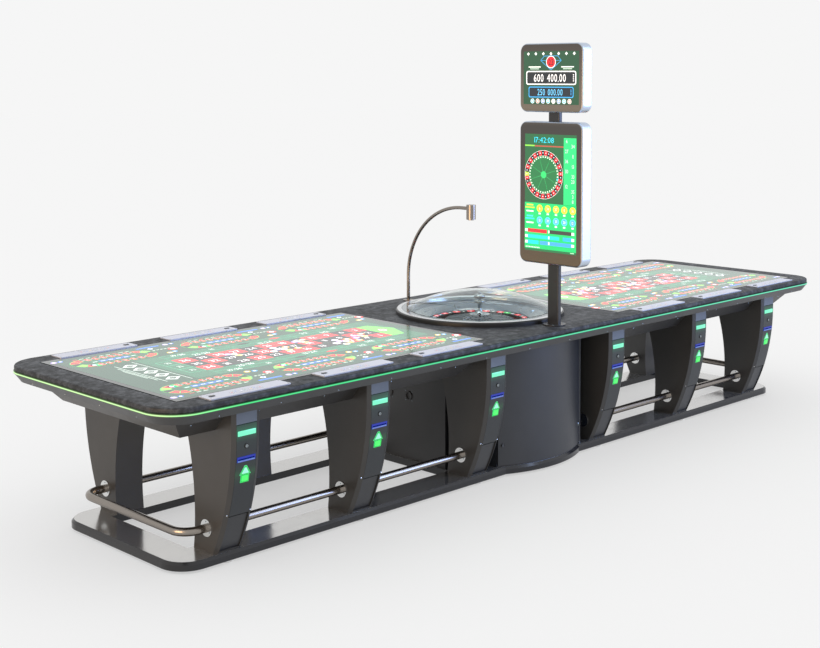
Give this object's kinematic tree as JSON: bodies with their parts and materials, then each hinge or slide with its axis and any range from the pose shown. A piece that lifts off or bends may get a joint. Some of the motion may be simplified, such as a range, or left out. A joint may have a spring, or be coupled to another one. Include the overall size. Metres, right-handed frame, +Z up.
{
  "type": "roulette table",
  "caption": "Long electronic roulette table with a domed central wheel, flush play displays, curved pedestals with note slots, foot rails, a display tower and a camera arm.",
  "frame": {"origin": "On the floor, on the axis of the wheel, under the middle of the table top", "axes": "+X along the table, +Y across it with the display tower on the -Y side, +Z up"},
  "size_m": [5.172, 1.428, 2.286],
  "materials": {
    "black_lacquer": "high-gloss black lacquer",
    "anthracite_paint": "satin anthracite powder coat",
    "door_paint": "satin dark coat with a lit note slot",
    "cap_paint": "satin blue-grey coat",
    "steel": "brushed stainless steel",
    "polished_steel": "polished stainless steel",
    "leatherette": "charcoal grained leatherette over foam",
    "deck_board": "plain board, hidden",
    "light_strip": "frosted green light guide",
    "display_glass": "display under flush glass",
    "electronics": "black moulded plastic",
    "bowl_metal": "polished grey bowl",
    "ring_plastic": "dark ring",
    "rotor_paint": "red and black pockets in dark lacquer",
    "dome_glass": "clear glass",
    "ivory_ball": "white ball",
    "motor_iron": "motor housing",
    "pole_paint": "satin black tube",
    "display_case": "bronze-grey anodised aluminium",
    "camera_plastic": "dark camera case",
    "button_plastic": "black push button"
  },
  "bodies": {
    "table": {"base_frame": "black_lacquer", "levelling_feet": "polished_steel", "pedestal_shells": "anthracite_paint", "cap_plates": "cap_paint", "kick_panels": "anthracite_paint", "bill_validators": "electronics", "hinge_pins": "polished_steel", "end_foot_rails": "steel", "side_foot_rails": "steel", "rail_flanges": "polished_steel", "centre_cabinet": "anthracite_paint", "edge_apron": "anthracite_paint", "light_guide": "light_strip", "deck_panel": "deck_board", "armrest": "leatherette", "monitor_housings": "anthracite_paint", "lcd_panels": "electronics", "screen_glasses": "display_glass", "station_plates": "steel", "wheel_ring": "ring_plastic", "wheel_bowl": "bowl_metal", "ball_deflectors": "polished_steel", "wheel_drive": "motor_iron", "tower_pole": "pole_paint", "display_housing": "display_case", "sign_housing": "display_case", "display_screens": "display_glass", "camera_arm": "polished_steel", "camera_head": "camera_plastic"},
    "pedestal_door_01": {"pedestal_door_01": "door_paint"},
    "pedestal_door_02": {"pedestal_door_02": "door_paint"},
    "pedestal_door_03": {"pedestal_door_03": "door_paint"},
    "pedestal_door_04": {"pedestal_door_04": "door_paint"},
    "pedestal_door_05": {"pedestal_door_05": "door_paint"},
    "pedestal_door_06": {"pedestal_door_06": "door_paint"},
    "pedestal_door_07": {"pedestal_door_07": "door_paint"},
    "pedestal_door_08": {"pedestal_door_08": "door_paint"},
    "pedestal_door_09": {"pedestal_door_09": "door_paint"},
    "pedestal_door_10": {"pedestal_door_10": "door_paint"},
    "pedestal_door_11": {"pedestal_door_11": "door_paint"},
    "pedestal_door_12": {"pedestal_door_12": "door_paint"},
    "station_button_01": {"station_button_01": "button_plastic"},
    "station_button_02": {"station_button_02": "button_plastic"},
    "station_button_03": {"station_button_03": "button_plastic"},
    "station_button_04": {"station_button_04": "button_plastic"},
    "station_button_05": {"station_button_05": "button_plastic"},
    "station_button_06": {"station_button_06": "button_plastic"},
    "station_button_07": {"station_button_07": "button_plastic"},
    "station_button_08": {"station_button_08": "button_plastic"},
    "station_button_09": {"station_button_09": "button_plastic"},
    "station_button_10": {"station_button_10": "button_plastic"},
    "station_button_11": {"station_button_11": "button_plastic"},
    "station_button_12": {"station_button_12": "button_plastic"},
    "cabinet_door_front": {"cabinet_door_front": "anthracite_paint"},
    "cabinet_door_rear": {"cabinet_door_rear": "anthracite_paint"},
    "wheel_head": {"rotor_head": "rotor_paint", "rotor_frets": "polished_steel", "turret": "polished_steel"},
    "roulette_ball": {"ball": "ivory_ball"},
    "dome": {"glass_dome": "dome_glass"}
  },
  "joints": [
    {"name": "pedestal_door_01_hinge", "type": "hinge", "parent": "table", "child": "pedestal_door_01", "pos_m": [-2.122, -0.5266, 0.234], "axis": [1, 0, 0], "range_deg": [0, 85]},
    {"name": "pedestal_door_02_hinge", "type": "hinge", "parent": "table", "child": "pedestal_door_02", "pos_m": [-1.339, -0.5266, 0.234], "axis": [1, 0, 0], "range_deg": [0, 85]},
    {"name": "pedestal_door_03_hinge", "type": "hinge", "parent": "table", "child": "pedestal_door_03", "pos_m": [-0.509, -0.5266, 0.234], "axis": [1, 0, 0], "range_deg": [0, 85]},
    {"name": "pedestal_door_04_hinge", "type": "hinge", "parent": "table", "child": "pedestal_door_04", "pos_m": [0.509, -0.5266, 0.234], "axis": [1, 0, 0], "range_deg": [0, 85]},
    {"name": "pedestal_door_05_hinge", "type": "hinge", "parent": "table", "child": "pedestal_door_05", "pos_m": [1.339, -0.5266, 0.234], "axis": [1, 0, 0], "range_deg": [0, 85]},
    {"name": "pedestal_door_06_hinge", "type": "hinge", "parent": "table", "child": "pedestal_door_06", "pos_m": [2.122, -0.5266, 0.234], "axis": [1, 0, 0], "range_deg": [0, 85]},
    {"name": "pedestal_door_07_hinge", "type": "hinge", "parent": "table", "child": "pedestal_door_07", "pos_m": [-2.122, 0.5266, 0.234], "axis": [-1, 0, 0], "range_deg": [0, 85]},
    {"name": "pedestal_door_08_hinge", "type": "hinge", "parent": "table", "child": "pedestal_door_08", "pos_m": [-1.339, 0.5266, 0.234], "axis": [-1, 0, 0], "range_deg": [0, 85]},
    {"name": "pedestal_door_09_hinge", "type": "hinge", "parent": "table", "child": "pedestal_door_09", "pos_m": [-0.509, 0.5266, 0.234], "axis": [-1, 0, 0], "range_deg": [0, 85]},
    {"name": "pedestal_door_10_hinge", "type": "hinge", "parent": "table", "child": "pedestal_door_10", "pos_m": [0.509, 0.5266, 0.234], "axis": [-1, 0, 0], "range_deg": [0, 85]},
    {"name": "pedestal_door_11_hinge", "type": "hinge", "parent": "table", "child": "pedestal_door_11", "pos_m": [1.339, 0.5266, 0.234], "axis": [-1, 0, 0], "range_deg": [0, 85]},
    {"name": "pedestal_door_12_hinge", "type": "hinge", "parent": "table", "child": "pedestal_door_12", "pos_m": [2.122, 0.5266, 0.234], "axis": [-1, 0, 0], "range_deg": [0, 85]},
    {"name": "station_button_01_travel", "type": "slide", "parent": "table", "child": "station_button_01", "axis": [0, 0, 1], "range_m": [-0.002, 0], "stiffness_N_per_m": 400},
    {"name": "station_button_02_travel", "type": "slide", "parent": "table", "child": "station_button_02", "axis": [0, 0, 1], "range_m": [-0.002, 0], "stiffness_N_per_m": 400},
    {"name": "station_button_03_travel", "type": "slide", "parent": "table", "child": "station_button_03", "axis": [0, 0, 1], "range_m": [-0.002, 0], "stiffness_N_per_m": 400},
    {"name": "station_button_04_travel", "type": "slide", "parent": "table", "child": "station_button_04", "axis": [0, 0, 1], "range_m": [-0.002, 0], "stiffness_N_per_m": 400},
    {"name": "station_button_05_travel", "type": "slide", "parent": "table", "child": "station_button_05", "axis": [0, 0, 1], "range_m": [-0.002, 0], "stiffness_N_per_m": 400},
    {"name": "station_button_06_travel", "type": "slide", "parent": "table", "child": "station_button_06", "axis": [0, 0, 1], "range_m": [-0.002, 0], "stiffness_N_per_m": 400},
    {"name": "station_button_07_travel", "type": "slide", "parent": "table", "child": "station_button_07", "axis": [0, 0, 1], "range_m": [-0.002, 0], "stiffness_N_per_m": 400},
    {"name": "station_button_08_travel", "type": "slide", "parent": "table", "child": "station_button_08", "axis": [0, 0, 1], "range_m": [-0.002, 0], "stiffness_N_per_m": 400},
    {"name": "station_button_09_travel", "type": "slide", "parent": "table", "child": "station_button_09", "axis": [0, 0, 1], "range_m": [-0.002, 0], "stiffness_N_per_m": 400},
    {"name": "station_button_10_travel", "type": "slide", "parent": "table", "child": "station_button_10", "axis": [0, 0, 1], "range_m": [-0.002, 0], "stiffness_N_per_m": 400},
    {"name": "station_button_11_travel", "type": "slide", "parent": "table", "child": "station_button_11", "axis": [0, 0, 1], "range_m": [-0.002, 0], "stiffness_N_per_m": 400},
    {"name": "station_button_12_travel", "type": "slide", "parent": "table", "child": "station_button_12", "axis": [0, 0, 1], "range_m": [-0.002, 0], "stiffness_N_per_m": 400},
    {"name": "cabinet_door_front_hinge", "type": "hinge", "parent": "table", "child": "cabinet_door_front", "pos_m": [0.344, -0.44464, 0.3745], "axis": [0, 0, 1], "range_deg": [0, 90]},
    {"name": "cabinet_door_rear_hinge", "type": "hinge", "parent": "table", "child": "cabinet_door_rear", "pos_m": [-0.344, 0.44464, 0.3745], "axis": [0, 0, 1], "range_deg": [0, 90]},
    {"name": "wheel_spin", "type": "hinge", "parent": "table", "child": "wheel_head", "pos_m": [0, 0, 0.735], "axis": [0, 0, 1], "continuous": true},
    {"name": "ball_orbit", "type": "hinge", "parent": "table", "child": "roulette_ball", "pos_m": [0, 0, 0.7829], "axis": [0, 0, 1], "continuous": true},
    {"name": "dome_lift", "type": "slide", "parent": "table", "child": "dome", "axis": [0, 0, 1], "range_m": [0, 0.19]}
  ]
}
